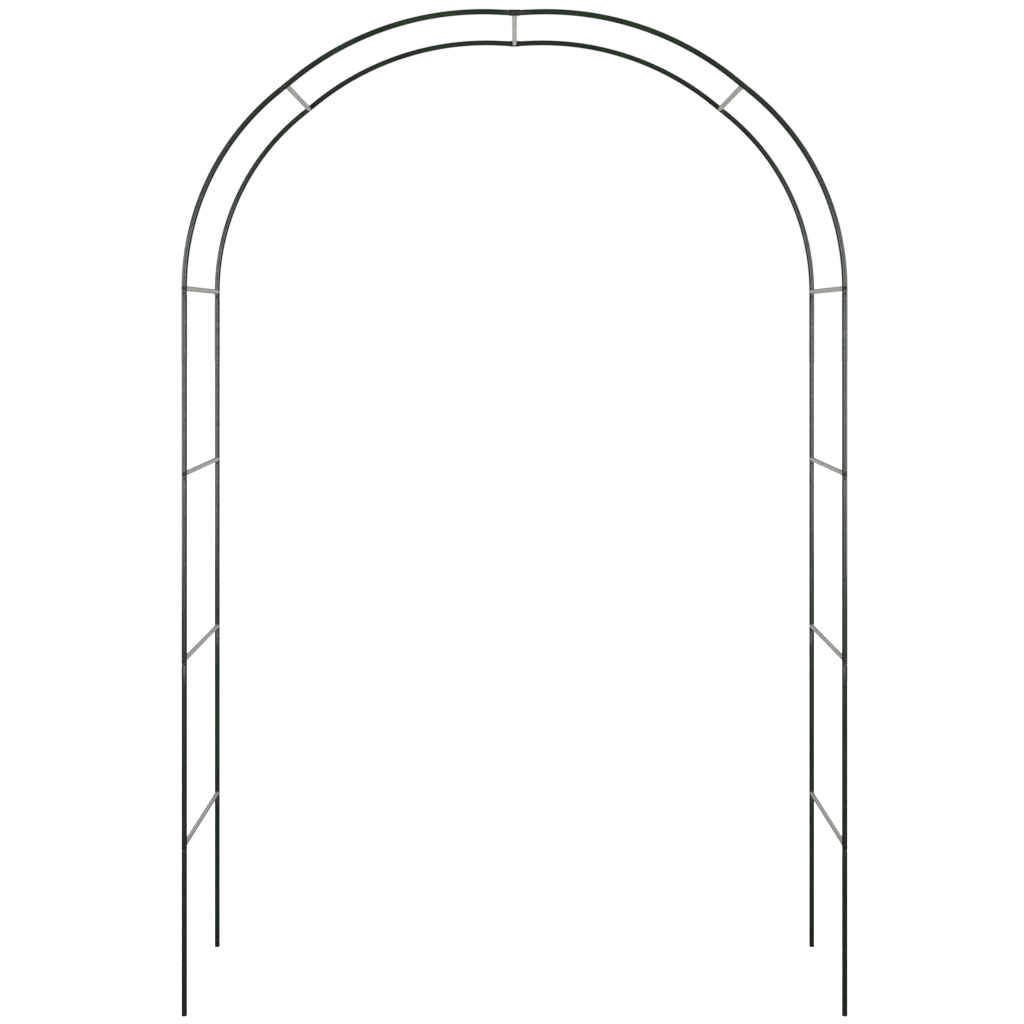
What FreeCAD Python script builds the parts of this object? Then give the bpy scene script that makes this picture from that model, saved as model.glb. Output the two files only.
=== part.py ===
import FreeCAD, Part
import math
import os

import Sketcher

# A free-standing garden trellis arch of thin steel tube. Two identical hoops stand one behind the
# other, and eleven short cross bars join them like ladder rungs.
# Each half hoop is six tubes end to end: a ground tube, three leg tubes, a shoulder curve and a
# crown curve. The upper end of a tube is swaged down to a spigot, which stands in the plain mouth
# of the tube above. One screw passes through mouth and spigot and into a plug in the cross bar's end.
# Frame: millimetres, +Z up, origin on the ground midway between the four legs, X across the
# walkway, and -Y the front hoop's side.

Vector = FreeCAD.Vector
Constraint = Sketcher.Constraint

DIMS = {
    # the hoops
    "half_width": 787.5,  # centre line of a leg from the middle of the walkway
    "half_depth": 190.0,  # centre plane of a hoop from the middle of the arch
    "tube_radius": 6.5,
    "tube_wall": 1.0,
    # the joints
    "ground_joint": 406.5,  # height of the lowest screw
    "leg_pitch": 442.5,  # from one screw on a leg to the next
    "joint_lap": 11.0,  # screw above the seam below it
    "spigot_length": 22.0,
    "spigot_radius": 5.3,
    "spigot_wall": 1.0,
    "swage_length": 2.5,  # cone between a tube and its spigot
    # the arch
    "lower_bend_radius": 603.0,
    "lower_bend_turn": 51.0,
    "shoulder_straight": 25.0,  # straight tube on each side of the shoulder screw
    "upper_bend_radius": 716.0,
    "upper_bend_turn": 41.7,  # a little past level, so the crown dips
    # the crown joiners
    "joiner_half_length": 13.0,
    "joiner_radius": 7.4,
    # the cross bars
    "bar_radius": 6.0,
    "bar_wall": 1.0,
    "bar_end_inset": 3.0,  # end of a bar from the hoop's centre plane
    "seat_gap": 0.1,  # between a bar's saddle end and the hoop tube
    # the plugs and screws
    "plug_length": 25.0,
    "slip": 0.05,  # radial gap of a plug in its bar and of a screw in its plug
    "screw_radius": 2.4,
    "screw_length": 35.0,
    "screw_point": 0.8,
    "screw_hole_radius": 2.75,
    "head_radius": 4.8,
    "head_height": 3.0,
    "head_round": 2.4,
    "recess_half_length": 2.4,
    "recess_half_width": 0.6,
    "recess_depth": 1.6,
}

LEG_TUBES = 3
ENDS = {"front": -1, "rear": 1}
SIDES = {"left": -1, "right": 1}

# Lengths that follow from the sheet, as expressions on its cells
BORE = "(dims.tube_radius - dims.tube_wall)"
SPIGOT_BORE = "(dims.spigot_radius - dims.spigot_wall)"
DROOP = "(dims.lower_bend_turn + dims.upper_bend_turn - 90)"
SPRING_JOINT = f"(dims.ground_joint + {LEG_TUBES} * dims.leg_pitch)"
SHOULDER_REACH = (
    "(dims.lower_bend_radius * (1 - cos(dims.lower_bend_turn))"
    " + dims.shoulder_straight * sin(dims.lower_bend_turn))"
)
SHOULDER_RISE = (
    "(dims.lower_bend_radius * sin(dims.lower_bend_turn)"
    " + dims.shoulder_straight * cos(dims.lower_bend_turn))"
)
UPPER_REACH = (
    "(dims.shoulder_straight * sin(dims.lower_bend_turn)"
    f" + dims.upper_bend_radius * (cos(dims.lower_bend_turn) + sin({DROOP})))"
)
UPPER_RISE = (
    "(dims.shoulder_straight * cos(dims.lower_bend_turn)"
    f" + dims.upper_bend_radius * (cos({DROOP}) - sin(dims.lower_bend_turn)))"
)
CROWN_TAIL = (
    f"((dims.half_width - dims.joiner_half_length - {SHOULDER_REACH} - {UPPER_REACH})"
    f" / cos({DROOP}))"
)
SHOULDER_JOINT = f"({SPRING_JOINT} + {SHOULDER_RISE})"
CROWN_SEAM = f"({SHOULDER_JOINT} + {UPPER_RISE} - {CROWN_TAIL} * sin({DROOP}))"
JOINER_BEND = f"(dims.joiner_half_length / sin({DROOP}))"
CROWN_JOINT = f"({CROWN_SEAM} - {JOINER_BEND} * (1 - cos({DROOP})))"


def make_sheet(doc):
    """The driving dimensions, one named cell each."""
    sheet = doc.addObject("Spreadsheet::Sheet", "dims")
    for row, (name, value) in enumerate(DIMS.items(), 1):
        sheet.set(f"A{row}", name)
        sheet.set(f"B{row}", str(value))
        sheet.setAlias(f"B{row}", name)
    doc.recompute()


def value_of(body, expression):
    return float(body.Document.dims.evalExpression(expression))


def leg_joint(index):
    """Height of a leg's screw, counted upwards from 0 at the ground tube."""
    return f"(dims.ground_joint + {index} * dims.leg_pitch)"


def new_body(doc, label):
    body = doc.addObject("PartDesign::Body", label)
    body.Label = label
    return body


def place(body, across, along, up, tilt=None, sense=1):
    """Puts a body at a point, tilted about Y by an angle from the sheet."""
    body.Placement = FreeCAD.Placement(Vector(), FreeCAD.Rotation(Vector(0, sense, 0), 1 if tilt else 0))
    for axis, expression in zip("xyz", (across, along, up)):
        body.setExpression(f"Placement.Base.{axis}", expression)
    if tilt:
        body.setExpression("Placement.Rotation.Angle", tilt)


def new_sketch(body, name, plane, lift=None):
    """A sketch on one of the body's own planes, raised by lift."""
    sketch = body.newObject("Sketcher::SketchObject", name)
    origin_plane = next(f for f in body.Origin.OriginFeatures if f.Role == plane)
    sketch.AttachmentSupport = [(origin_plane, "")]
    sketch.MapMode = "FlatFace"
    if lift:
        sketch.setExpression("AttachmentOffset.Base.z", lift)
    return sketch


def bind(sketch, constraint, expression):
    index = sketch.addConstraint(constraint)
    sketch.setExpression(f"Constraints[{index}]", expression)


def fix_point(sketch, geometry, point, across, up):
    """Ties a point of the sketch to the origin: by a dimension, or to the axis where that is 0."""
    for kind, axis, expression in (("DistanceX", -2, across), ("DistanceY", -1, up)):
        if expression == "0":
            sketch.addConstraint(Constraint("PointOnObject", geometry, point, axis))
        else:
            value = value_of(sketch, expression)
            bind(sketch, Constraint(kind, -1, 1, geometry, point, value), expression)


def draw_circle(sketch, radius, across="0", up="0"):
    centre = Vector(value_of(sketch, across), value_of(sketch, up), 0)
    circle = Part.Circle(centre, Vector(0, 0, 1), value_of(sketch, radius))
    geometry = sketch.addGeometry(circle, False)
    bind(sketch, Constraint("Radius", geometry, value_of(sketch, radius)), radius)
    fix_point(sketch, geometry, 3, across, up)


def points_of(sketch, corners):
    return [Vector(value_of(sketch, x), value_of(sketch, y), 0) for x, y in corners]


def draw_line(sketch, start, end):
    return sketch.addGeometry(Part.LineSegment(*points_of(sketch, (start, end))), False)


def draw_polygon(sketch, corners):
    """A closed outline of straight lines through corners given as pairs of expressions."""
    points = points_of(sketch, corners)
    lines = []
    for start, end in zip(points, points[1:] + points[:1]):
        lines.append(sketch.addGeometry(Part.LineSegment(start, end), False))
    for line, following in zip(lines, lines[1:] + lines[:1]):
        sketch.addConstraint(Constraint("Coincident", line, 2, following, 1))
    for line, (x, y) in zip(lines, corners):
        fix_point(sketch, line, 1, x, y)


def ring_sketch(body, name, plane, outer, inner, lift=None):
    sketch = new_sketch(body, name, plane, lift)
    draw_circle(sketch, outer)
    draw_circle(sketch, inner)
    return sketch


def revolve(body, name, corners):
    """Turns an outline in the XZ plane about the body's Z axis."""
    sketch = new_sketch(body, name + "_outline", "XZ_Plane")
    draw_polygon(sketch, corners)
    feature = body.newObject("PartDesign::Revolution", name)
    feature.Profile = sketch
    feature.ReferenceAxis = (sketch, ["V_Axis"])
    feature.Angle = 360


def pad(body, name, sketch, length, side="One side", reverse=False):
    feature = body.newObject("PartDesign::Pad", name)
    feature.Profile = sketch
    feature.SideType = side
    feature.Reversed = reverse
    feature.setExpression("Length", length)


def cut_through(body, name, sketch):
    """Pockets a sketch right through the body, both ways."""
    feature = body.newObject("PartDesign::Pocket", name)
    feature.Profile = sketch
    feature.Type = "ThroughAll"
    feature.SideType = "Symmetric"


def screw_hole(body, name, across, up):
    """A hole along Y through both walls of a tube."""
    sketch = new_sketch(body, name + "_circle", "XZ_Plane")
    draw_circle(sketch, "dims.screw_hole_radius", across, up)
    cut_through(body, name, sketch)


def bend_path(body, name, start, step, bend, turn, sense, lead=None, tail=None):
    """A path in the XZ plane from (0, start) up (step 1) or down (-1): lead, arc, tail.

    The arc turns towards +X where sense is 1 and towards -X where it is -1.
    """
    sketch = new_sketch(body, name, "XZ_Plane")
    foot = f"({start} + {step} * {lead})" if lead else start
    centre = (f"{sense} * {bend}", foot)
    end_across = f"({sense} * {bend} * (1 - cos({turn})))"
    end_up = f"({foot} + {step} * {bend} * sin({turn}))"
    arc, first, last = draw_arc(sketch, centre, bend, turn, sense, step)
    fix_point(sketch, arc, first, "0", foot)
    fix_point(sketch, arc, 3, *centre)
    bind(sketch, Constraint("DistanceY", -1, 1, arc, last, value_of(sketch, end_up)), end_up)
    if lead:
        line = draw_line(sketch, ("0", start), ("0", foot))
        fix_point(sketch, line, 1, "0", start)
        sketch.addConstraint(Constraint("Coincident", line, 2, arc, first))
    if tail:
        tip_across = f"({end_across} + {sense} * {tail} * sin({turn}))"
        tip_up = f"({end_up} + {step} * {tail} * cos({turn}))"
        line = draw_line(sketch, (end_across, end_up), (tip_across, tip_up))
        fix_point(sketch, line, 2, tip_across, tip_up)
        sketch.addConstraint(Constraint("Coincident", line, 1, arc, last))
    return sketch


def draw_arc(sketch, centre, bend, turn, sense, step):
    """An arc from level with its centre; a sketch holds arcs anticlockwise, so which end is
    which depends on the way it turns."""
    foot_angle = math.pi if sense > 0 else 0.0
    end_angle = foot_angle - sense * step * math.radians(value_of(sketch, turn))
    circle = Part.Circle(points_of(sketch, [centre])[0], Vector(0, 0, 1), value_of(sketch, bend))
    arc = sketch.addGeometry(Part.ArcOfCircle(circle, *sorted((foot_angle, end_angle))), False)
    first, last = (1, 2) if end_angle > foot_angle else (2, 1)
    return arc, first, last


def sweep(body, name, profile, path):
    feature = body.newObject("PartDesign::AdditivePipe", name)
    feature.Profile = profile
    feature.Spine = (path, [])


def spigot(body):
    """The swaged end: a short cone, then a narrower tube, upwards from the seam at z = 0."""
    corners = [
        (BORE, "-dims.swage_length"),
        ("dims.tube_radius", "-dims.swage_length"),
        ("dims.spigot_radius", "0"),
        ("dims.spigot_radius", "dims.spigot_length"),
        (SPIGOT_BORE, "dims.spigot_length"),
        (SPIGOT_BORE, "0"),
    ]
    revolve(body, "spigot", corners)
    screw_hole(body, "spigot_hole", "0", "dims.joint_lap")


def straight_tube(doc, label, length, mouth):
    """A tube that hangs down from its upper seam at z = 0; mouth says that it has a screw hole below."""
    body = new_body(doc, label)
    ring = ring_sketch(body, "wall_ring", "XY_Plane", "dims.tube_radius", BORE, "-dims.swage_length")
    pad(body, "wall", ring, f"{length} - dims.swage_length", reverse=True)
    spigot(body)
    if mouth:
        screw_hole(body, "mouth_hole", "0", f"-{length} + dims.joint_lap")
    return body


def ground_tube(doc, label, x_sign, y_sign):
    seam = "(dims.ground_joint - dims.joint_lap)"
    body = straight_tube(doc, label, seam, mouth=False)
    place(body, f"{x_sign} * dims.half_width", f"{y_sign} * dims.half_depth", seam)
    return body


def leg_tube(doc, label, x_sign, y_sign, index):
    body = straight_tube(doc, label, "dims.leg_pitch", mouth=True)
    seam = f"{leg_joint(index)} - dims.joint_lap"
    place(body, f"{x_sign} * dims.half_width", f"{y_sign} * dims.half_depth", seam)
    return body


def place_at_shoulder(body, x_sign, y_sign):
    """Puts a body's origin at the shoulder seam, with +Z along the tube there."""
    across = f"({SHOULDER_REACH} - dims.joint_lap * sin(dims.lower_bend_turn))"
    up = f"{SHOULDER_JOINT} - dims.joint_lap * cos(dims.lower_bend_turn)"
    out = f"{x_sign} * (dims.half_width - {across})"
    place(body, out, f"{y_sign} * dims.half_depth", up, "dims.lower_bend_turn", -x_sign)


def shoulder_curve(doc, label, x_sign, y_sign):
    """The lower bent tube, from its mouth on the leg up to the shoulder seam at z = 0."""
    body = new_body(doc, label)
    sense = -x_sign
    lead = "(dims.shoulder_straight - dims.joint_lap - dims.swage_length)"
    bend, turn = "dims.lower_bend_radius", "dims.lower_bend_turn"
    ring = ring_sketch(body, "wall_ring", "XY_Plane", "dims.tube_radius", BORE, "-dims.swage_length")
    path = bend_path(
        body, "wall_path", "-dims.swage_length", -1, bend, turn, sense, lead, "dims.joint_lap"
    )
    sweep(body, "wall", ring, path)
    spigot(body)
    mouth_across = f"{sense} * {bend} * (1 - cos({turn}))"
    mouth_up = f"-dims.swage_length - {lead} - {bend} * sin({turn})"
    screw_hole(body, "mouth_hole", mouth_across, mouth_up)
    place_at_shoulder(body, x_sign, y_sign)
    return body


def crown_curve(doc, label, x_sign, y_sign):
    """The upper bent tube, from its mouth at the shoulder seam to its mouth at the crown."""
    body = new_body(doc, label)
    lead = "(dims.joint_lap + dims.shoulder_straight)"
    ring = ring_sketch(body, "wall_ring", "XY_Plane", "dims.tube_radius", BORE)
    bend, turn = "dims.upper_bend_radius", "dims.upper_bend_turn"
    path = bend_path(body, "wall_path", "0", 1, bend, turn, -x_sign, lead, CROWN_TAIL)
    sweep(body, "wall", ring, path)
    screw_hole(body, "mouth_hole", "0", "dims.joint_lap")
    place_at_shoulder(body, x_sign, y_sign)
    return body


def crown_joiner(doc, label, y_sign):
    """A thicker middle between two spigots, bent up a little, from its left seam at z = 0."""
    body = new_body(doc, label)
    turn = f"(2 * {DROOP})"
    core_ring = ring_sketch(
        body, "core_ring", "XY_Plane", "dims.spigot_radius", SPIGOT_BORE, "-dims.spigot_length"
    )
    reach = "dims.spigot_length"
    core_path = bend_path(body, "core_path", f"-{reach}", 1, JOINER_BEND, turn, -1, reach, reach)
    sweep(body, "core", core_ring, core_path)
    collar_ring = ring_sketch(body, "collar_ring", "XY_Plane", "dims.joiner_radius", SPIGOT_BORE)
    collar_path = bend_path(body, "collar_path", "0", 1, JOINER_BEND, turn, -1)
    sweep(body, "collar", collar_ring, collar_path)
    sag = f"{JOINER_BEND} * (1 - cos({DROOP}))"
    screw_hole(body, "cross_hole", f"-{sag}", "dims.joiner_half_length")
    tilt = "dims.lower_bend_turn + dims.upper_bend_turn"
    place(body, "-dims.joiner_half_length", f"{y_sign} * dims.half_depth", CROWN_SEAM, tilt)
    return body


def cross_bar(doc, label, seat_radius):
    """A tube along Y with both ends saddle-cut to sit on the hoop tubes."""
    body = new_body(doc, label)
    ring = ring_sketch(body, "wall_ring", "XZ_Plane", "dims.bar_radius", "dims.bar_radius - dims.bar_wall")
    pad(body, "wall", ring, "2 * (dims.half_depth - dims.bar_end_inset)", side="Symmetric")
    for end, y_sign in ENDS.items():
        seat = new_sketch(body, f"{end}_seat_circle", "XY_Plane")
        draw_circle(seat, f"{seat_radius} + dims.seat_gap", "0", f"{y_sign} * dims.half_depth")
        cut_through(body, f"{end}_seat", seat)
    return body


def bar_plugs(doc, label, bar, seat_radius):
    """The two threaded plugs in a cross bar's ends, as plain rings."""
    plugs = []
    outer = "dims.bar_radius - dims.bar_wall - dims.slip"
    for end, y_sign in ENDS.items():
        plug = new_body(doc, f"{label}_{end}")
        ring = ring_sketch(plug, "ring", "XY_Plane", outer, "dims.screw_radius + dims.slip")
        pad(plug, "wall", ring, "dims.plug_length", reverse=True)
        plug.Placement = FreeCAD.Placement(Vector(), FreeCAD.Rotation(Vector(-y_sign, 0, 0), 90))
        out = f"{y_sign} * (dims.half_depth - {seat_radius} - dims.seat_gap)"
        for axis, expression in (("x", bar[0]), ("y", out), ("z", bar[1])):
            plug.setExpression(f"Placement.Base.{axis}", expression)
        plugs.append(plug)
    return group(doc, label, plugs)


def screw(doc, label, point, y_sign, seat_radius):
    """A pan-head screw with a cross recess; its thread is a plain cylinder."""
    body = new_body(doc, label)
    corners = [
        ("0", "dims.head_height"),
        ("0", "-dims.screw_length"),
        ("dims.screw_radius - dims.screw_point", "-dims.screw_length"),
        ("dims.screw_radius", "dims.screw_point - dims.screw_length"),
        ("dims.screw_radius", "0"),
        ("dims.head_radius", "0"),
        ("dims.head_radius", "dims.head_height"),
    ]
    revolve(body, "turned", corners)
    doc.recompute()
    round_over_head(body)
    cross_recess(body)
    body.Placement = FreeCAD.Placement(Vector(), FreeCAD.Rotation(Vector(-y_sign, 0, 0), 90))
    out = f"{y_sign} * (dims.half_depth + {seat_radius})"
    for axis, expression in (("x", point[0]), ("y", out), ("z", point[1])):
        body.setExpression(f"Placement.Base.{axis}", expression)
    return body


def round_over_head(body):
    top = value_of(body, "dims.head_height")
    turned = body.Tip
    rim = [
        f"Edge{number}"
        for number, edge in enumerate(turned.Shape.Edges, 1)
        if abs(edge.BoundBox.ZMin - top) < 1e-6 and abs(edge.BoundBox.ZMax - top) < 1e-6
    ]
    rounding = body.newObject("PartDesign::Fillet", "head_rounding")
    rounding.Base = (turned, rim)
    rounding.setExpression("Radius", "dims.head_round")


def cross_recess(body):
    sketch = new_sketch(body, "recess_cross", "XY_Plane", "dims.head_height")
    long, short = "dims.recess_half_length", "dims.recess_half_width"
    corners = []
    for x_sign, y_sign in ((1, 1), (-1, 1), (-1, -1), (1, -1)):
        arm_on_x = (f"{x_sign} * {long}", f"{y_sign} * {short}")
        inner = (f"{x_sign} * {short}", f"{y_sign} * {short}")
        arm_on_y = (f"{x_sign} * {short}", f"{y_sign} * {long}")
        ordered = [arm_on_x, inner, arm_on_y] if x_sign == y_sign else [arm_on_y, inner, arm_on_x]
        corners += ordered
    draw_polygon(sketch, corners)
    recess = body.newObject("PartDesign::Pocket", "recess")
    recess.Profile = sketch
    recess.Type = "Length"
    recess.setExpression("Length", "dims.recess_depth")


def group(doc, label, members):
    """Separate solids of one kind that share a node."""
    compound = doc.addObject("Part::Compound", label)
    compound.Label = label
    compound.Links = members
    return compound


def make_half_hoop(doc, end, side):
    x_sign, y_sign = SIDES[side], ENDS[end]
    name = f"{end}_{side}"
    tubes = [ground_tube(doc, f"{name}_ground_tube", x_sign, y_sign)]
    for index in range(1, LEG_TUBES + 1):
        tubes.append(leg_tube(doc, f"{name}_leg_tube_{index}", x_sign, y_sign, index))
    tubes.append(shoulder_curve(doc, f"{name}_shoulder_curve", x_sign, y_sign))
    tubes.append(crown_curve(doc, f"{name}_crown_curve", x_sign, y_sign))
    return tubes


def side_joints(x_sign):
    """Name, place (x, z) and tilt of each joint with a cross bar on one side, from the ground up."""
    leg_x = f"{x_sign} * dims.half_width"
    joints = [(f"bar_{index + 1}", (leg_x, leg_joint(index)), None) for index in range(LEG_TUBES + 1)]
    shoulder = (f"{x_sign} * (dims.half_width - {SHOULDER_REACH})", SHOULDER_JOINT)
    joints.append(("shoulder_bar", shoulder, "dims.lower_bend_turn"))
    return joints


def make_bar(doc, label, point, seat_radius, tilt=None, sense=1):
    bar = cross_bar(doc, label, seat_radius)
    place(bar, point[0], "0", point[1], tilt, sense)
    return [bar, bar_plugs(doc, f"{label}_plugs", point, seat_radius)]


def make_side_bars(doc, side):
    x_sign = SIDES[side]
    nodes = []
    for name, point, tilt in side_joints(x_sign):
        nodes += make_bar(doc, f"{side}_{name}", point, "dims.tube_radius", tilt, -x_sign)
    return nodes


def make_side_screws(doc, end, side):
    label = f"{end}_{side}_screws"
    screws = []
    for name, point, _tilt in side_joints(SIDES[side]):
        screws.append(screw(doc, f"{label}_{name}", point, ENDS[end], "dims.tube_radius"))
    return group(doc, label, screws)


def make_crown(doc):
    """The crown bar with its plugs, the two joiners and their screws."""
    point = ("0", CROWN_JOINT)
    nodes = make_bar(doc, "crown_bar", point, "dims.joiner_radius")
    screws = []
    for end, y_sign in ENDS.items():
        nodes.append(crown_joiner(doc, f"{end}_crown_joiner", y_sign))
        screws.append(screw(doc, f"crown_screws_{end}", point, y_sign, "dims.joiner_radius"))
    nodes.append(group(doc, "crown_screws", screws))
    return nodes


def check(doc, nodes):
    """Stops before anything is written if a feature failed or a shape is not sound."""
    doc.recompute()
    for item in doc.Objects:
        if "Invalid" in item.State or "Error" in item.State:
            raise RuntimeError(f"{item.Label} failed: {item.State}")
    for node in nodes:
        if node.Shape.isNull() or not node.Shape.isValid() or not node.Shape.Solids:
            raise RuntimeError(f"{node.Label} has no valid shape")


def main():
    doc = FreeCAD.newDocument("trellis_arch")
    make_sheet(doc)
    nodes = []
    for end in ENDS:
        for side in SIDES:
            nodes += make_half_hoop(doc, end, side)
            nodes.append(make_side_screws(doc, end, side))
    for side in SIDES:
        nodes += make_side_bars(doc, side)
    nodes += make_crown(doc)
    check(doc, nodes)
    os.makedirs("parts", exist_ok=True)
    for node in nodes:
        node.Shape.exportStep(f"parts/{node.Label}.step")


main()
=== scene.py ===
"""Looks of the metal trellis arch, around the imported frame.

It has swept tubes, crown joiners, saddle-cut cross bars and screws.

Metres, +Z up, X across the walkway, -Y towards the front hoop. Every piece rides on the one body.
"""

import math

import bmesh
import bpy
from mathutils import Matrix, Vector


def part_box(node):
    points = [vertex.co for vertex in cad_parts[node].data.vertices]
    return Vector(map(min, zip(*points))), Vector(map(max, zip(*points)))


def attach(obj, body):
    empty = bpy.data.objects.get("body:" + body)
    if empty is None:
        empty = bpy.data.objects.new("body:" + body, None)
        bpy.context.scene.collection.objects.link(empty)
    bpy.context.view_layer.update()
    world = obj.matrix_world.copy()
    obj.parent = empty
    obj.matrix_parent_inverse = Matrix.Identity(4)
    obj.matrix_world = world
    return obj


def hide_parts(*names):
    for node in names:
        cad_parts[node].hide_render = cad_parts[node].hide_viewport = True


BODY = "root"
ENDS = {"front": -1, "rear": 1}
SIDES = {"left": -1, "right": 1}
LEG_TUBES = 3

# The hoops, beyond what the frame's own boxes give
TUBE_WALL = 0.001
JOINT_LAP = 0.011  # a screw above the seam below it
SPIGOT_LENGTH = 0.022
SPIGOT_RADIUS = 0.0053
SPIGOT_WALL = 0.001
SWAGE_LENGTH = 0.0025
LOWER_BEND_RADIUS = 0.603
LOWER_BEND_TURN = math.radians(51.0)
SHOULDER_STRAIGHT = 0.025  # on each side of the shoulder screw
UPPER_BEND_RADIUS = 0.716
UPPER_BEND_TURN = math.radians(41.7)
DROOP = LOWER_BEND_TURN + UPPER_BEND_TURN - math.pi / 2
JOINER_HALF_LENGTH = 0.013
JOINER_RADIUS = 0.0074
JOINER_EDGE = 0.0008

# The cross bars
BAR_WALL = 0.001
SEAT_GAP = 0.0001
BAR_LIP = 0.0003

# The screws
SCREW_HOLE_RADIUS = 0.00275
HEAD_RADIUS = 0.0048
HEAD_HEIGHT = 0.003
HEAD_EDGE = 0.0006
HEAD_DOME = 0.0009
SHANK_RADIUS = 0.0024
SHANK_LENGTH = 0.035
THREAD_START = 0.010
THREAD_PITCH = 0.0008
THREAD_DEPTH = 0.0004
THREAD_ROWS = 8  # rings of the mesh to one turn
POINT_SHARE = 0.7  # the tip's radius, as a share of the shank's
RECESS_HALF_LENGTH = 0.0024
RECESS_HALF_WIDTH = 0.0006
RECESS_DEPTH = 0.0016
RECESS_TAPER = 0.55
DENT_DEPTH = 0.0003  # how far a head pulls the tube's wall in
DENT_REACH = 0.0055
DENT_FOCUS = 3  # how sharply it fades round the tube
DENT_ROWS = 4  # rings of the mesh to one reach

# Fineness of the meshes
RING_CORNERS = 40
HOLE_CORNERS = 24
HEAD_CORNERS = 24
EDGE_STEPS = 4  # in a rounded tube end or collar edge
SWAGE_STEPS = 6
HEAD_STEPS = 5  # in a screw head's dome, and in its edge
BEND_STEP = 0.012
STRAIGHT_STEP = 0.060
SHARP_ANGLE = math.radians(32)

# The camera
EYE_HEIGHT = 1.650
EYE_TO_FRONT_HOOP = 3.420
LENS = 50.42
SENSOR = (27, 36)  # millimetres, across and up
SHIFT = (-0.00245, -0.1840)

# The studio
ROOM_MIRRORED = 0.04  # the room as the tubes mirror it
ROOM_FILL = 0.26  # and as it lights them
FLOOR_GLOW = 1.1
FLOOR_RADIUS = 60
FLOOR_CORNERS = 96
FLAG = ((-0.62, 0.30), (0.0, 2.15))  # a black card along the walkway: its reach in y and in z
# Softboxes: name, (x, y, z), the point each faces, width, height, brightness and spread in degrees;
# each that stands to one side has a twin at -x
SOFTBOXES = [
    ("side_box", (1.81, -0.54, 1.48), (0.79, -0.19, 1.48), 2.1, 1.25, 2.9, 180),
    ("far_strip", (-2.10, -4.10, 1.6), (0.79, 0.0, 1.5), 1.4, 2.9, 0.82, 40),
    ("backdrop", (0, 3.0, 1.5), (0, 0, 1.5), 5.0, 3.0, 0.66, 180),
]

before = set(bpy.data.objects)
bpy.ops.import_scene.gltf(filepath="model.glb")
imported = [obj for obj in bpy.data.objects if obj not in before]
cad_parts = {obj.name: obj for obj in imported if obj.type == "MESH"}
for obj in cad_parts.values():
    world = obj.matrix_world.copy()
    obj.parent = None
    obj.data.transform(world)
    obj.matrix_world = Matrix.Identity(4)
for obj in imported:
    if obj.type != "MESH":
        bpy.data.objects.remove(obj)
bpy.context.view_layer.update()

leg_low, leg_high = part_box("front_left_leg_tube_2")
TUBE_RADIUS = (leg_high.x - leg_low.x) / 2
TUBE_BORE = TUBE_RADIUS - TUBE_WALL
SPIGOT_BORE = SPIGOT_RADIUS - SPIGOT_WALL
HALF_WIDTH = -(leg_low.x + leg_high.x) / 2
HALF_DEPTH = -(leg_low.y + leg_high.y) / 2
BAR_RADIUS = (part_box("left_bar_1")[1].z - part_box("left_bar_1")[0].z) / 2
LEG_SEAMS = [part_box(f"front_left_leg_tube_{index + 1}")[0].z for index in range(LEG_TUBES)]
LEG_SEAMS.append(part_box("front_left_shoulder_curve")[0].z)
LEG_SCREWS = [seam + JOINT_LAP for seam in LEG_SEAMS]


# ---------------------------------------------------------------- centre lines


class CentreLine:
    """Runs of steady curvature in the XZ plane, measured by distance along them.

    heading is from straight up, towards the middle of the arch; the last run goes on for ever.
    """

    def __init__(self, origin, sense, rise, heading, runs):
        self.origin = origin  # x and y where reach is 0
        self.sense = sense  # which way reach goes along X
        self.start = (0.0, rise, heading)
        self.runs = runs  # (length, curvature)

    def at(self, distance):
        """(centre point, direction away from the middle of the arch) at a distance along the line."""
        reach, rise, heading = self.start
        for number, (length, curvature) in enumerate(self.runs):
            last = number == len(self.runs) - 1
            step = distance if last else min(distance, length)
            turned = heading + curvature * step
            if curvature:
                reach += (math.cos(heading) - math.cos(turned)) / curvature
                rise += (math.sin(turned) - math.sin(heading)) / curvature
            else:
                reach += step * math.sin(heading)
                rise += step * math.cos(heading)
            heading = turned
            distance -= step
            if distance <= 0:
                break
        x, y = self.origin
        centre = Vector((x + self.sense * reach, y, rise))
        outward = Vector((-self.sense * math.cos(heading), 0, math.sin(heading)))
        return centre, outward

    def stations(self, first, last):
        """Distances strictly between two others, close together in the bends."""
        found, begin = [], 0.0
        for number, (length, curvature) in enumerate(self.runs):
            end = last if number == len(self.runs) - 1 else begin + length
            low, high = max(first, begin), min(last, end)
            if high > low:
                count = math.ceil((high - low) / (BEND_STEP if curvature else STRAIGHT_STEP))
                found += [low + (high - low) * step / count for step in range(count)]
            begin = end
        return [distance for distance in found if first < distance < last]


LOWER_ARC = LOWER_BEND_RADIUS * LOWER_BEND_TURN
UPPER_ARC = UPPER_BEND_RADIUS * UPPER_BEND_TURN
SPRING = LEG_SCREWS[-1]
SHOULDER_SCREW = SPRING + LOWER_ARC + SHOULDER_STRAIGHT
SHOULDER_SEAM = SHOULDER_SCREW - JOINT_LAP
CROWN_ARC_END = SHOULDER_SCREW + SHOULDER_STRAIGHT + UPPER_ARC
HOOP_RUNS = [
    (SPRING, 0.0),
    (LOWER_ARC, 1 / LOWER_BEND_RADIUS),
    (2 * SHOULDER_STRAIGHT, 0.0),
    (UPPER_ARC, 1 / UPPER_BEND_RADIUS),
    (0.0, 0.0),
]


def half_hoop_line(end, side):
    x_sign, y_sign = SIDES[side], ENDS[end]
    return CentreLine((x_sign * HALF_WIDTH, y_sign * HALF_DEPTH), -x_sign, 0.0, 0.0, HOOP_RUNS)


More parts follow.
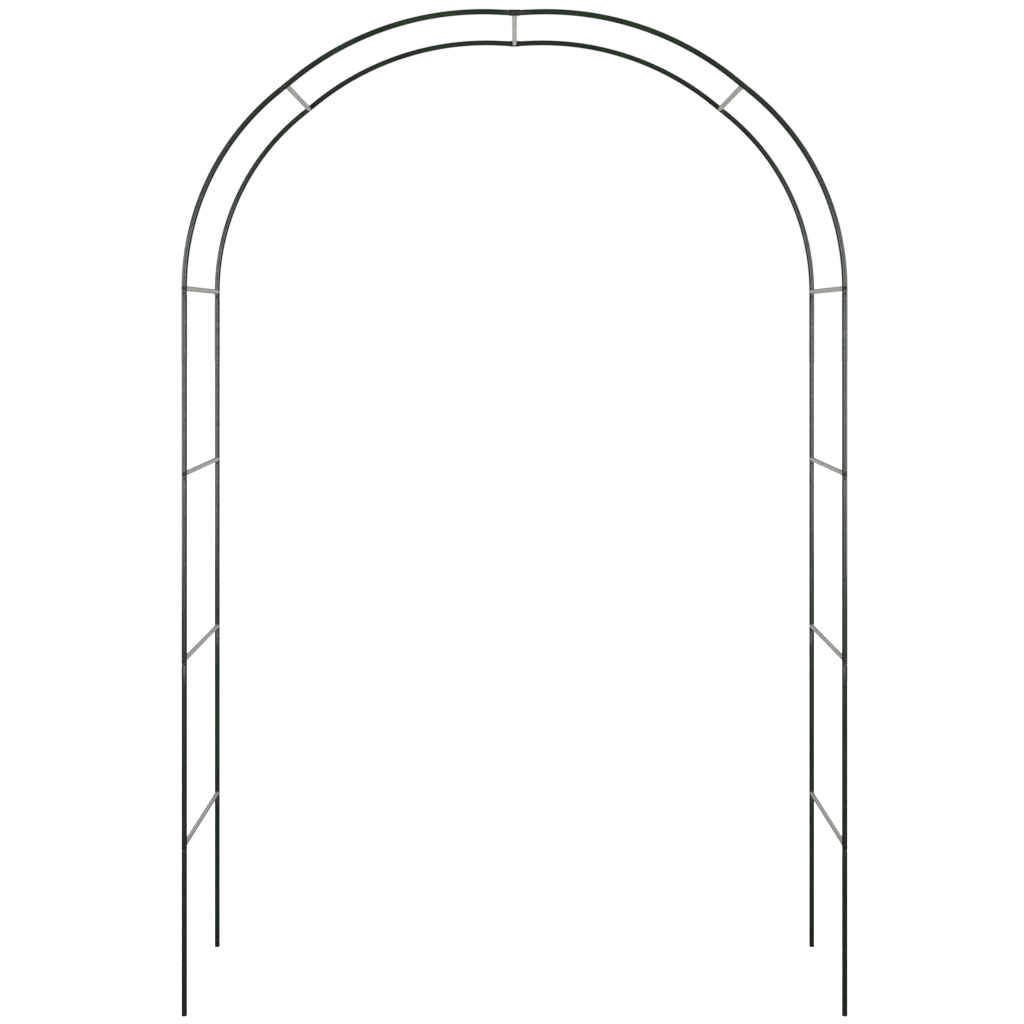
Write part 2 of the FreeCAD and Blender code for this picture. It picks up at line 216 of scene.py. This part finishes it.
def crown_seam():
    """(distance along the line, height) where a crown curve meets its joiner."""
    centre, _outward = half_hoop_line("front", "left").at(CROWN_ARC_END)
    tail = (-centre.x - JOINER_HALF_LENGTH) / math.cos(DROOP)
    return CROWN_ARC_END + tail, centre.z - tail * math.sin(DROOP)


CROWN_SEAM, CROWN_SEAM_HEIGHT = crown_seam()
JOINER_BEND = JOINER_HALF_LENGTH / math.sin(DROOP)
JOINER_ARC = 2 * DROOP * JOINER_BEND
CROWN_SCREW_HEIGHT = CROWN_SEAM_HEIGHT - JOINER_BEND * (1 - math.cos(DROOP))


def joiner_line(end):
    """From the tip of the left spigot, over the collar's bend, to the right spigot."""
    back = SPIGOT_LENGTH * math.cos(DROOP)
    x = -JOINER_HALF_LENGTH - back
    rise = CROWN_SEAM_HEIGHT + SPIGOT_LENGTH * math.sin(DROOP)
    runs = [(SPIGOT_LENGTH, 0.0), (JOINER_ARC, -1 / JOINER_BEND), (SPIGOT_LENGTH, 0.0)]
    return CentreLine((x, ENDS[end] * HALF_DEPTH), 1, rise, math.pi / 2 + DROOP, runs)


# ---------------------------------------------------------------- mesh tools


def finish_piece(name, mesh_builder, material, nodes):
    """Turns a bmesh into a smooth-shaded piece that stands for CAD nodes."""
    bmesh.ops.recalc_face_normals(mesh_builder, faces=mesh_builder.faces)
    mesh = bpy.data.meshes.new(name)
    mesh_builder.to_mesh(mesh)
    mesh_builder.free()
    mesh.materials.append(material)
    piece = bpy.data.objects.new(name, mesh)
    bpy.context.scene.collection.objects.link(piece)
    shade(mesh)
    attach(piece, BODY)
    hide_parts(*nodes)
    return piece


def shade(mesh):
    mesh.shade_smooth()
    mesh.set_sharp_from_angle(angle=SHARP_ANGLE)


def bridge(builder, rings, closed):
    """Joins each ring of corners to the next with quads, and the last to the first if closed."""
    count = len(rings[0])
    following = rings[1:] + rings[:1] if closed else rings[1:]
    for ring, after in zip(rings, following):
        for corner in range(count):
            beside = (corner + 1) % count
            builder.faces.new((ring[corner], ring[beside], after[beside], after[corner]))


def ring_angles(count=RING_CORNERS):
    return [2 * math.pi * corner / count for corner in range(count)]


def lip(distance, middle, half_wall, sense):
    """Rows of a half-round tube end at a distance: from inside to outside where sense is 1, else back."""
    rows = []
    for step in range(EDGE_STEPS + 1):
        angle = sense * math.pi * (step / EDGE_STEPS - 0.5)
        back = half_wall * (1 - math.cos(angle)) * sense
        rows.append((distance + back, middle + half_wall * math.sin(angle)))
    return rows


def swage(seam, upper_radius, lower_radius):
    """Rows of the smooth neck below a seam, from the tube's radius up to the spigot's."""
    rows = []
    for step in range(SWAGE_STEPS + 1):
        share = step / SWAGE_STEPS
        blend = (1 - math.cos(math.pi * share)) / 2
        rows.append((seam - SWAGE_LENGTH * (1 - share), lower_radius + (upper_radius - lower_radius) * blend))
    return rows


def near_screw(screw, first, last):
    """Distances round a screw, close enough together to carry its dent."""
    steps = range(1, 2 * DENT_ROWS + 1)
    offsets = [side * step * DENT_REACH / DENT_ROWS for side in (-1, 1) for step in steps]
    return [screw + offset for offset in [0.0] + offsets if first < screw + offset < last]


def wall_rows(line, first, last, radius, screws):
    """Rows along a plain wall between two distances."""
    found = set(line.stations(first, last))
    for screw in screws:
        found.update(near_screw(screw, first, last))
    return [(distance, radius) for distance in sorted(found)]


def tube_rows(line, foot, seam, spigot, screws):
    """The closed profile of a tube: out over its mouth, up the outside, and back down the bore."""
    half_wall, middle = TUBE_WALL / 2, TUBE_RADIUS - TUBE_WALL / 2
    rows = lip(foot, middle, half_wall, 1)
    mouth = foot + half_wall
    if not spigot:
        rows += wall_rows(line, mouth, seam - half_wall, TUBE_RADIUS, screws)
        rows += lip(seam, middle, half_wall, -1)
        return rows + wall_rows(line, mouth, seam - half_wall, TUBE_BORE, screws)[::-1]
    neck, tip = seam - SWAGE_LENGTH, seam + SPIGOT_LENGTH
    rows += wall_rows(line, mouth, neck, TUBE_RADIUS, screws)
    rows += swage(seam, SPIGOT_RADIUS, TUBE_RADIUS)
    spigot_end = tip - SPIGOT_WALL / 2
    rows += wall_rows(line, seam, spigot_end, SPIGOT_RADIUS, screws)
    rows += lip(tip, SPIGOT_RADIUS - SPIGOT_WALL / 2, SPIGOT_WALL / 2, -1)
    rows += wall_rows(line, seam, spigot_end, SPIGOT_BORE, screws)[::-1]
    rows += swage(seam, SPIGOT_BORE, TUBE_BORE)[::-1]
    return rows + wall_rows(line, mouth, neck, TUBE_BORE, screws)[::-1]


def dent(distance, angle, y_sign, screws):
    """How far the wall is pulled in under the screw heads, on the hoop's outer face only."""
    facing = max(0.0, y_sign * math.sin(angle))
    depth = 0.0
    for screw in screws:
        depth += math.exp(-(((distance - screw) / DENT_REACH) ** 2))
    return DENT_DEPTH * facing**DENT_FOCUS * depth


def sweep(line, rows, y_sign, screws):
    """A round wall through rows of (distance, radius) along a line, dented under its screws."""
    builder = bmesh.new()
    rings = []
    for distance, radius in rows:
        centre, outward = line.at(distance)
        ring = []
        for angle in ring_angles():
            reach = radius - dent(distance, angle, y_sign, screws)
            side = Vector((0, math.sin(angle), 0))
            ring.append(builder.verts.new(centre + reach * (math.cos(angle) * outward + side)))
        rings.append(ring)
    bridge(builder, rings, closed=True)
    return builder


def drill(piece, line, screws):
    """Cuts the screws' holes through both walls."""
    builder = bmesh.new()
    for screw in screws:
        centre, _outward = line.at(screw)
        turned = Matrix.Translation(centre) @ Matrix.Rotation(math.pi / 2, 4, "X")
        bmesh.ops.create_cone(
            builder,
            cap_ends=True,
            segments=HOLE_CORNERS,
            radius1=SCREW_HOLE_RADIUS,
            radius2=SCREW_HOLE_RADIUS,
            depth=4 * TUBE_RADIUS,
            matrix=turned,
        )
    cut(piece, builder)


def cut(piece, builder):
    """Takes the closed mesh in builder away from a piece."""
    bmesh.ops.recalc_face_normals(builder, faces=builder.faces)
    tool_mesh = bpy.data.meshes.new("tool")
    builder.to_mesh(tool_mesh)
    builder.free()
    tool = bpy.data.objects.new("tool", tool_mesh)
    bpy.context.scene.collection.objects.link(tool)
    modifier = piece.modifiers.new("cut", "BOOLEAN")
    modifier.operation = "DIFFERENCE"
    modifier.solver = "MANIFOLD"
    modifier.object = tool
    graph = bpy.context.evaluated_depsgraph_get()
    result = bpy.data.meshes.new_from_object(piece.evaluated_get(graph))
    piece.modifiers.remove(modifier)
    piece.data = result
    shade(result)
    bpy.data.objects.remove(tool)


def mark_wear(piece, places, reach):
    """Stores how close each vertex is to a rubbed place, from 0 to 1, for its material to read."""
    attribute = piece.data.attributes.new("wear", "FLOAT", "POINT")
    for vertex in piece.data.vertices:
        gap = min((vertex.co - place).length for place in places)
        attribute.data[vertex.index].value = math.exp(-gap / reach)


# ---------------------------------------------------------------- pieces


def make_tube(name, line, y_sign, foot, seam, spigot, screws, material):
    """One painted tube from its mouth at foot to the seam under the next, with a spigot or a plain end."""
    builder = sweep(line, tube_rows(line, foot, seam, spigot, screws), y_sign, screws)
    piece = finish_piece(name + "_painted", builder, material, [name])
    if screws:
        drill(piece, line, screws)
    rubbed = [line.at(distance)[0] for distance in [foot, seam - SWAGE_LENGTH] + screws]
    mark_wear(piece, rubbed, TUBE_RADIUS)
    return piece


def make_half_hoop(end, side, material):
    """The six tubes of a leg and its share of the arch; a screw goes through each joint."""
    line = half_hoop_line(end, side)
    label, y_sign = f"{end}_{side}", ENDS[end]
    names = ["ground_tube"] + [f"leg_tube_{index + 1}" for index in range(LEG_TUBES)]
    names += ["shoulder_curve", "crown_curve"]
    feet = [0.0] + LEG_SEAMS + [SHOULDER_SEAM]
    seams = LEG_SEAMS + [SHOULDER_SEAM, CROWN_SEAM]
    for name, foot, seam in zip(names, feet, seams):
        spigot = name != "crown_curve"
        screws = [foot + JOINT_LAP] if foot else []
        screws += [seam + JOINT_LAP] if spigot else []
        make_tube(f"{label}_{name}", line, y_sign, foot, seam, spigot, screws, material)


def joiner_rows(line):
    """The closed profile of a joiner: along the bore, then back over spigot, collar and spigot."""
    whole = 2 * SPIGOT_LENGTH + JOINER_ARC
    half_wall, middle = SPIGOT_WALL / 2, SPIGOT_RADIUS - SPIGOT_WALL / 2
    seams = (SPIGOT_LENGTH, whole - SPIGOT_LENGTH)
    rows = lip(0.0, middle, half_wall, 1)
    for first, last in ((half_wall, seams[0]), seams, (seams[1], whole - half_wall)):
        collar = first == seams[0]
        if collar:
            rows += collar_edge(first, 1)
        inset = JOINER_EDGE if collar else 0.0
        radius = JOINER_RADIUS if collar else SPIGOT_RADIUS
        rows += wall_rows(line, first + inset, last - inset, radius, [whole / 2])
        if collar:
            rows += collar_edge(last, -1)
    rows += lip(whole, middle, half_wall, -1)
    return rows + wall_rows(line, half_wall, whole - half_wall, SPIGOT_BORE, [whole / 2])[::-1]


def collar_edge(seam, sense):
    """Rows from the spigot up a collar's face and over its rounded edge; sense -1 for the far end."""
    rows = [(seam, SPIGOT_RADIUS)]
    for step in range(EDGE_STEPS + 1):
        angle = step * math.pi / (2 * EDGE_STEPS)
        along = JOINER_EDGE * (1 - math.cos(angle))
        rows.append((seam + sense * along, JOINER_RADIUS - JOINER_EDGE * (1 - math.sin(angle))))
    return rows if sense > 0 else rows[::-1]


def make_joiner(end, material):
    line = joiner_line(end)
    middle = SPIGOT_LENGTH + JOINER_ARC / 2
    builder = sweep(line, joiner_rows(line), ENDS[end], [middle])
    name = f"{end}_crown_joiner"
    piece = finish_piece(name + "_painted", builder, material, [name])
    drill(piece, line, [middle])
    mark_wear(piece, [line.at(middle)[0]], TUBE_RADIUS)


def bar_rows(reach):
    """The closed profile of a bar, as rows of (radius, end, inset, y).

    A row whose end is -1 or 1 follows the saddle at that end, and stands back from it by its inset.
    A row whose end is 0 keeps its own y.
    """
    bore = BAR_RADIUS - BAR_WALL
    outside = [(BAR_RADIUS, BAR_LIP), (BAR_RADIUS - BAR_LIP / 3, BAR_LIP / 4), (BAR_RADIUS - BAR_LIP, 0.0)]
    inside = [(bore + BAR_LIP, 0.0), (bore + BAR_LIP / 3, BAR_LIP / 4), (bore, BAR_LIP)]
    steps = math.ceil(2 * reach / STRAIGHT_STEP)
    shares = [step / steps for step in range(1, steps)]
    rows = [(radius, -1, inset, None) for radius, inset in inside[::-1] + outside[::-1]]
    rows += [(BAR_RADIUS, 0, 0.0, -reach + 2 * reach * share) for share in shares]
    rows += [(radius, 1, inset, None) for radius, inset in outside + inside]
    return rows + [(bore, 0, 0.0, reach - 2 * reach * share) for share in shares]


def make_bar(name, centre, outward, seat_radius, material):
    """A tube along Y whose ends are cut to saddle the hoop tubes, with softened lips."""
    builder = bmesh.new()
    along = outward.cross(Vector((0, 1, 0)))
    seat = seat_radius + SEAT_GAP
    reach = HALF_DEPTH - seat
    rings = []
    for radius, end, inset, fixed in bar_rows(reach):
        ring = []
        for angle in ring_angles():
            across = radius * math.cos(angle)
            saddle = HALF_DEPTH - math.sqrt(seat**2 - across**2) - inset
            y = fixed if end == 0 else end * saddle
            offset = across * outward + radius * math.sin(angle) * along
            ring.append(builder.verts.new(Vector((centre.x, y, centre.z)) + offset))
        rings.append(ring)
    bridge(builder, rings, closed=True)
    piece = finish_piece(name + "_tube", builder, material, [name])
    ends = [Vector((centre.x, y_sign * reach, centre.z)) for y_sign in ENDS.values()]
    mark_wear(piece, ends, BAR_RADIUS)


def thread_radius(depth, angle):
    """Radius of the threaded shank at a depth below the head, on a helix."""
    phase = (depth / THREAD_PITCH - angle / (2 * math.pi)) % 1.0
    ridge = abs(2 * phase - 1)
    fade = min(1.0, max(0.0, (depth - THREAD_START) / THREAD_PITCH))
    point = min(1.0, max(0.0, (SHANK_LENGTH - depth) / THREAD_PITCH))
    return (SHANK_RADIUS - THREAD_DEPTH * ridge * fade) * (POINT_SHARE + (1 - POINT_SHARE) * point)


def head_profile():
    """(radius, height) down a pan head from near its middle to the shank, and where its edge begins."""
    profile = []
    for step in range(HEAD_STEPS):
        radius = (HEAD_RADIUS - HEAD_EDGE) * (step + 1) / HEAD_STEPS
        fall = HEAD_DOME * (radius / HEAD_RADIUS) ** 2
        profile.append((radius, HEAD_HEIGHT - fall))
    shoulder = profile[-1][1] - HEAD_EDGE
    for step in range(1, HEAD_STEPS + 1):
        angle = step * math.pi / (2 * HEAD_STEPS)
        radius = HEAD_RADIUS - HEAD_EDGE * (1 - math.sin(angle))
        profile.append((radius, shoulder + HEAD_EDGE * math.cos(angle)))
    profile += [(HEAD_RADIUS, HEAD_EDGE / 3), (HEAD_RADIUS - HEAD_EDGE / 3, 0.0), (SHANK_RADIUS, 0.0)]
    return profile, shoulder


def thread_depths():
    """Depths of the shank's rings, close together where it is threaded."""
    threaded = SHANK_LENGTH - THREAD_START
    count = THREAD_ROWS * round(threaded / THREAD_PITCH)
    return [THREAD_START / 2] + [THREAD_START + threaded * step / count for step in range(count + 1)]


def screw_mesh(material):
    """A pan-head screw along Z: the head above 0 with a cross recess, the threaded shank below."""
    builder = bmesh.new()
    angles = ring_angles(HEAD_CORNERS)
    profile, shoulder = head_profile()
    rings = [
        [builder.verts.new((radius * math.cos(a), radius * math.sin(a), height)) for a in angles]
        for radius, height in profile
    ]
    for depth in thread_depths():
        ring = []
        for angle in angles:
            radius = thread_radius(depth, angle)
            ring.append(builder.verts.new((radius * math.cos(angle), radius * math.sin(angle), -depth)))
        rings.append(ring)
    bridge(builder, rings, closed=False)
    cap(builder, rings[0], HEAD_HEIGHT)
    cap(builder, rings[-1], -SHANK_LENGTH)
    bmesh.ops.recalc_face_normals(builder, faces=builder.faces)
    mesh = bpy.data.meshes.new("screw")
    builder.to_mesh(mesh)
    builder.free()
    mesh.materials.append(material)
    blank = bpy.data.objects.new("screw_blank", mesh)
    bpy.context.scene.collection.objects.link(blank)
    cut(blank, recess_tool())
    rim = [Vector((HEAD_RADIUS * math.cos(a), HEAD_RADIUS * math.sin(a), shoulder)) for a in angles]
    mark_wear(blank, rim + [Vector((0, 0, HEAD_HEIGHT))], HEAD_EDGE)
    finished = blank.data
    bpy.data.objects.remove(blank)
    return finished


def cap(builder, ring, height):
    """Closes a ring round the Z axis with triangles to its middle."""
    centre = builder.verts.new((0, 0, height))
    for corner, vertex in enumerate(ring):
        builder.faces.new((vertex, ring[(corner + 1) % len(ring)], centre))


def recess_tool():
    """A tapered cross that stands in the head's top."""
    builder = bmesh.new()
    rings = []
    for height, scale in ((HEAD_HEIGHT + RECESS_DEPTH, 1.0), (HEAD_HEIGHT - RECESS_DEPTH, RECESS_TAPER)):
        ring = []
        for quarter in range(4):
            turn = Matrix.Rotation(quarter * math.pi / 2, 3, "Z")
            long, short = RECESS_HALF_LENGTH * scale, RECESS_HALF_WIDTH * (1 + scale) / 2
            for corner in ((long, -short), (long, short), (short, short)):
                ring.append(builder.verts.new(turn @ Vector((*corner, height))))
        rings.append(ring)
    bridge(builder, rings, closed=False)
    for ring in rings:
        builder.faces.new(ring)
    return builder


def make_screw(name, node, mesh, centre, y_sign, seat_radius, turn):
    """A screw on a hoop's outer face, its head settled in the dent and turned about its own axis."""
    screw = bpy.data.objects.new(name, mesh)
    face = y_sign * (HALF_DEPTH + seat_radius - DENT_DEPTH)
    place = Matrix.Translation((centre.x, face, centre.z))
    lie = Matrix.Rotation(-y_sign * math.pi / 2, 4, "X")
    screw.matrix_world = place @ lie @ Matrix.Rotation(turn, 4, "Z")
    bpy.context.scene.collection.objects.link(screw)
    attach(screw, BODY)
    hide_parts(node)


def make_fixings(materials):
    """The cross bars and every screw, from the ground up to the crown."""
    mesh = screw_mesh(materials["screw_brown"])
    golden = math.pi * (3 - math.sqrt(5))
    turn = 0.0
    for side in SIDES:
        line = half_hoop_line("front", side)
        labels = [f"bar_{index + 1}" for index in range(LEG_TUBES + 1)] + ["shoulder_bar"]
        for label, distance in zip(labels, LEG_SCREWS + [SHOULDER_SCREW]):
            centre, outward = line.at(distance)
            make_bar(f"{side}_{label}", centre, outward, TUBE_RADIUS, materials["bar_zinc"])
            for end, y_sign in ENDS.items():
                turn += golden
                node = f"{end}_{side}_screws"
                make_screw(f"{end}_{side}_{label}_screw", node, mesh, centre, y_sign, TUBE_RADIUS, turn)
    crown = Vector((0, 0, CROWN_SCREW_HEIGHT))
    make_bar("crown_bar", crown, Vector((0, 0, 1)), JOINER_RADIUS, materials["bar_zinc"])
    for end, y_sign in ENDS.items():
        turn += golden
        make_screw(f"{end}_crown_screw", "crown_screws", mesh, crown, y_sign, JOINER_RADIUS, turn)


# ---------------------------------------------------------------- materials


class Recipe:
    """A procedural material, built node by node."""

    def __init__(self, name):
        self.material = bpy.data.materials.new(name)
        self.material.use_nodes = True
        self.tree = self.material.node_tree
        self.shader = self.tree.nodes["Principled BSDF"]
        self.coordinates = self.add("ShaderNodeTexCoord").outputs["Object"]

    def add(self, kind, **settings):
        node = self.tree.nodes.new(kind)
        for name, value in settings.items():
            setattr(node, name, value)
        return node

    def link(self, source, target):
        self.tree.links.new(source, target)

    def noise(self, scale, detail=3.0, roughness=0.5, stretch=None):
        """Noise at a scale per metre; stretch divides it along each axis."""
        node = self.add("ShaderNodeTexNoise")
        node.inputs["Scale"].default_value = scale
        node.inputs["Detail"].default_value = detail
        node.inputs["Roughness"].default_value = roughness
        source = self.coordinates
        if stretch:
            mapping = self.add("ShaderNodeMapping")
            mapping.inputs["Scale"].default_value = stretch
            self.link(self.coordinates, mapping.inputs["Vector"])
            source = mapping.outputs["Vector"]
        self.link(source, node.inputs["Vector"])
        return node.outputs["Fac"]

    def spread(self, source, low, high, to_low, to_high):
        node = self.add("ShaderNodeMapRange", clamp=True)
        self.link(source, node.inputs["Value"])
        for name, value in zip(("From Min", "From Max", "To Min", "To Max"), (low, high, to_low, to_high)):
            node.inputs[name].default_value = value
        return node.outputs["Result"]

    def blend(self, share, first, second):
        """Mixes two colours, each a triple or a socket."""
        node = self.add("ShaderNodeMix", data_type="RGBA")
        self.link(share, node.inputs["Factor"])
        for socket, colour in ((node.inputs[6], first), (node.inputs[7], second)):
            if isinstance(colour, tuple):
                socket.default_value = (*colour, 1)
            else:
                self.link(colour, socket)
        return node.outputs[2]

    def combine(self, operation, first, second):
        node = self.add("ShaderNodeMath", operation=operation, use_clamp=operation != "SUBTRACT")
        for socket, value in zip(node.inputs, (first, second)):
            if isinstance(value, float):
                socket.default_value = value
            else:
                self.link(value, socket)
        return node.outputs[0]

    def wear(self):
        return self.add("ShaderNodeAttribute", attribute_name="wear").outputs["Fac"]

    def bump(self, height, strength, distance, under=None):
        node = self.add("ShaderNodeBump")
        node.inputs["Strength"].default_value = strength
        node.inputs["Distance"].default_value = distance
        self.link(height, node.inputs["Height"])
        if under:
            self.link(under, node.inputs["Normal"])
        return node.outputs["Normal"]

    def set(self, **sockets):
        """Gives the shader a number, colour or link for each socket, named with underscores."""
        for name, value in sockets.items():
            socket = self.shader.inputs[name.replace("_", " ")]
            if isinstance(value, bpy.types.NodeSocket):
                self.link(value, socket)
            elif isinstance(value, tuple):
                socket.default_value = (*value, 1)
            else:
                socket.default_value = value


def hoop_paint():
    """Dark green satin powder coat: orange peel, cloudy gloss, and rubbed places at the joints."""
    recipe = Recipe("hoop_paint")
    deep, pale = (0.0165, 0.027, 0.016), (0.023, 0.037, 0.0225)
    dusty, scuffed = (0.050, 0.058, 0.044), (0.12, 0.125, 0.11)
    cloudy = recipe.spread(recipe.noise(14, 4), 0.35, 0.65, 0.0, 1.0)
    colour = recipe.blend(cloudy, deep, pale)
    dust = recipe.spread(recipe.noise(55, 5, 0.6), 0.52, 0.80, 0.0, 0.30)
    colour = recipe.blend(dust, colour, dusty)
    chips = recipe.spread(recipe.noise(700, 3, 0.6), 0.55, 0.62, 0.0, 1.0)
    near = recipe.spread(recipe.wear(), 0.30, 0.55, 0.0, 1.0)
    rubbed = recipe.combine("MULTIPLY", chips, near)
    colour = recipe.blend(recipe.combine("MULTIPLY", rubbed, 0.6), colour, scuffed)
    gloss = recipe.spread(recipe.noise(40, 4), 0.3, 0.7, 0.19, 0.26)
    rough = recipe.combine("ADD", gloss, recipe.combine("MULTIPLY", rubbed, 0.25))
    peel = recipe.bump(recipe.noise(450, 2), 0.08, 0.00010)
    recipe.set(Base_Color=colour, Roughness=rough, Normal=peel, Specular_IOR_Level=0.5)
    return recipe.material


def bar_zinc():
    """Dull zinc plate: streaks along the tube, a faint spangle and chalky patches."""
    recipe = Recipe("bar_zinc")
    plate, bright = (0.58, 0.58, 0.515), (0.70, 0.70, 0.635)
    chalky, bare = (0.64, 0.64, 0.58), (0.34, 0.33, 0.30)
    streaks = recipe.noise(900, 3, 0.6, stretch=(1, 0.02, 1))
    chalk = recipe.spread(recipe.noise(90, 5, 0.65), 0.45, 0.75, 0.0, 1.0)
    spangle = recipe.add("ShaderNodeTexVoronoi")
    spangle.inputs["Scale"].default_value = 260
    recipe.link(recipe.coordinates, spangle.inputs["Vector"])
    facet = recipe.spread(spangle.outputs["Color"], 0.0, 1.0, 0.0, 0.18)
    colour = recipe.blend(facet, plate, bright)
    colour = recipe.blend(recipe.combine("MULTIPLY", chalk, 0.45), colour, chalky)
    cut_edge = recipe.spread(recipe.wear(), 0.50, 0.75, 0.0, 0.5)
    colour = recipe.blend(cut_edge, colour, bare)
    brushed = recipe.spread(streaks, 0.3, 0.7, 0.30, 0.42)
    rough = recipe.combine("ADD", brushed, recipe.combine("MULTIPLY", chalk, 0.12))
    metal = recipe.spread(chalk, 0.0, 1.0, 0.45, 0.25)
    drawn = recipe.bump(streaks, 0.06, 0.0001)
    recipe.set(Base_Color=colour, Roughness=rough, Metallic=metal, Normal=drawn)
    return recipe.material


def screw_brown():
    """Dark brown coated steel, rubbed to a lighter brown on the head's edge and round the recess."""
    recipe = Recipe("screw_brown")
    dark, light, rubbed = (0.024, 0.016, 0.014), (0.036, 0.024, 0.021), (0.13, 0.10, 0.085)
    mottle = recipe.spread(recipe.noise(900, 3), 0.35, 0.65, 0.0, 1.0)
    colour = recipe.blend(mottle, dark, light)
    edge = recipe.combine("MULTIPLY", recipe.spread(recipe.wear(), 0.35, 0.8, 0.0, 1.0), mottle)
    colour = recipe.blend(recipe.combine("MULTIPLY", edge, 0.5), colour, rubbed)
    rough = recipe.spread(recipe.noise(1500, 2), 0.3, 0.7, 0.34, 0.52)
    grain = recipe.bump(recipe.noise(4000, 2), 0.2, 0.00004)
    recipe.set(Base_Color=colour, Roughness=rough, Metallic=0.25, Normal=grain)
    return recipe.material


def plug_steel():
    """Turned bright steel with tool marks round it."""
    recipe = Recipe("plug_steel")
    dull, bright = (0.42, 0.42, 0.41), (0.52, 0.52, 0.50)
    marks = recipe.noise(2500, 2, 0.5, stretch=(0.05, 1, 0.05))
    colour = recipe.blend(recipe.spread(marks, 0.3, 0.7, 0.0, 1.0), dull, bright)
    rough = recipe.spread(recipe.noise(300, 3), 0.3, 0.7, 0.26, 0.40)
    recipe.set(Base_Color=colour, Roughness=rough, Metallic=1.0, Normal=recipe.bump(marks, 0.2, 0.00005))
    return recipe.material


def floor_white():
    """Matt white that glows, so that it looks white in its own right."""
    recipe = Recipe("floor_white")
    colour = recipe.blend(recipe.noise(3, 2), (0.88, 0.88, 0.88), (0.92, 0.92, 0.92))
    recipe.set(Base_Color=colour, Roughness=0.9, Specular_IOR_Level=0.0)
    recipe.set(Emission_Color=(1.0, 1.0, 1.0), Emission_Strength=FLOOR_GLOW)
    return recipe.material


def flag_black():
    """Matt black cloth."""
    recipe = Recipe("flag_black")
    colour = recipe.blend(recipe.noise(30, 2), (0.004, 0.004, 0.004), (0.008, 0.008, 0.008))
    recipe.set(Base_Color=colour, Roughness=1.0, Specular_IOR_Level=0.0)
    return recipe.material


# ---------------------------------------------------------------- studio


def make_floor():
    """A white floor to look at, which neither lights the arch nor shows in its reflections."""
    builder = bmesh.new()
    bmesh.ops.create_circle(builder, cap_ends=True, segments=FLOOR_CORNERS, radius=FLOOR_RADIUS)
    mesh = bpy.data.meshes.new("floor")
    builder.to_mesh(mesh)
    builder.free()
    mesh.materials.append(floor_white())
    floor = bpy.data.objects.new("floor", mesh)
    floor.visible_glossy = False
    floor.visible_diffuse = False
    bpy.context.scene.collection.objects.link(floor)


def make_flag():
    """A black card between the legs, out of the camera's sight, that darkens their inner edges."""
    (near, far), (bottom, top) = FLAG
    builder = bmesh.new()
    corners = ((near, bottom), (far, bottom), (far, top), (near, top))
    builder.faces.new([builder.verts.new((0, y, z)) for y, z in corners])
    mesh = bpy.data.meshes.new("flag")
    builder.to_mesh(mesh)
    builder.free()
    mesh.materials.append(flag_black())
    flag = bpy.data.objects.new("flag", mesh)
    flag.visible_camera = False
    bpy.context.scene.collection.objects.link(flag)


def make_world():
    """White to the camera, a soft fill on everything, and a darker room in the reflections."""
    world = bpy.data.worlds.new("studio")
    world.use_nodes = True
    nodes, links = world.node_tree.nodes, world.node_tree.links
    nodes.clear()
    output = nodes.new("ShaderNodeOutputWorld")
    background = nodes.new("ShaderNodeBackground")
    background.inputs["Color"].default_value = (1, 1, 1, 1)
    path = nodes.new("ShaderNodeLightPath")
    lighting = nodes.new("ShaderNodeMapRange")
    lighting.inputs["To Min"].default_value = ROOM_FILL
    lighting.inputs["To Max"].default_value = ROOM_MIRRORED
    seen = nodes.new("ShaderNodeMath")
    seen.operation = "MAXIMUM"
    links.new(path.outputs["Is Glossy Ray"], lighting.inputs["Value"])
    links.new(lighting.outputs["Result"], seen.inputs[0])
    links.new(path.outputs["Is Camera Ray"], seen.inputs[1])
    links.new(seen.outputs[0], background.inputs["Strength"])
    links.new(background.outputs[0], output.inputs["Surface"])
    bpy.context.scene.world = world


def make_softboxes():
    """Area lights, each with a twin across the middle of the arch unless it stands there."""
    for name, place, target, width, height, brightness, spread in SOFTBOXES:
        for side, x_sign in SIDES.items():
            if not place[0] and x_sign < 0:
                continue
            data = bpy.data.lights.new(f"{name}_{side}", "AREA")
            data.shape = "RECTANGLE"
            data.size, data.size_y = width, height
            data.energy = math.pi * width * height * brightness
            data.spread = math.radians(spread)
            light = bpy.data.objects.new(data.name, data)
            flip = Vector((x_sign, 1, 1))
            spot, aim = Vector(place) * flip, Vector(target) * flip
            light.location = spot
            light.rotation_euler = (aim - spot).to_track_quat("-Z", "Y").to_euler()
            light.visible_camera = False
            bpy.context.scene.collection.objects.link(light)


def make_camera():
    """A level eye-height view of the front, shifted down to take in the whole arch."""
    data = bpy.data.cameras.new("camera")
    data.sensor_fit = "VERTICAL"
    data.sensor_width, data.sensor_height = SENSOR
    data.lens = LENS
    data.shift_x, data.shift_y = SHIFT
    camera = bpy.data.objects.new("camera", data)
    camera.location = (0, -HALF_DEPTH - EYE_TO_FRONT_HOOP, EYE_HEIGHT)
    camera.rotation_euler = (math.pi / 2, 0, 0)
    bpy.context.scene.collection.objects.link(camera)
    bpy.context.scene.camera = camera


def make_arch():
    """Every piece, and the plugs, which keep the frame's own shape."""
    materials = {make.__name__: make() for make in (hoop_paint, bar_zinc, screw_brown, plug_steel)}
    for end in ENDS:
        for side in SIDES:
            make_half_hoop(end, side, materials["hoop_paint"])
        make_joiner(end, materials["hoop_paint"])
    make_fixings(materials)
    for name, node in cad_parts.items():
        if name.endswith("_plugs"):
            node.data.materials.clear()
            node.data.materials.append(materials["plug_steel"])


make_camera()
make_world()
make_floor()
make_flag()
make_softboxes()
make_arch()
bpy.context.scene.view_settings.view_transform = "Standard"
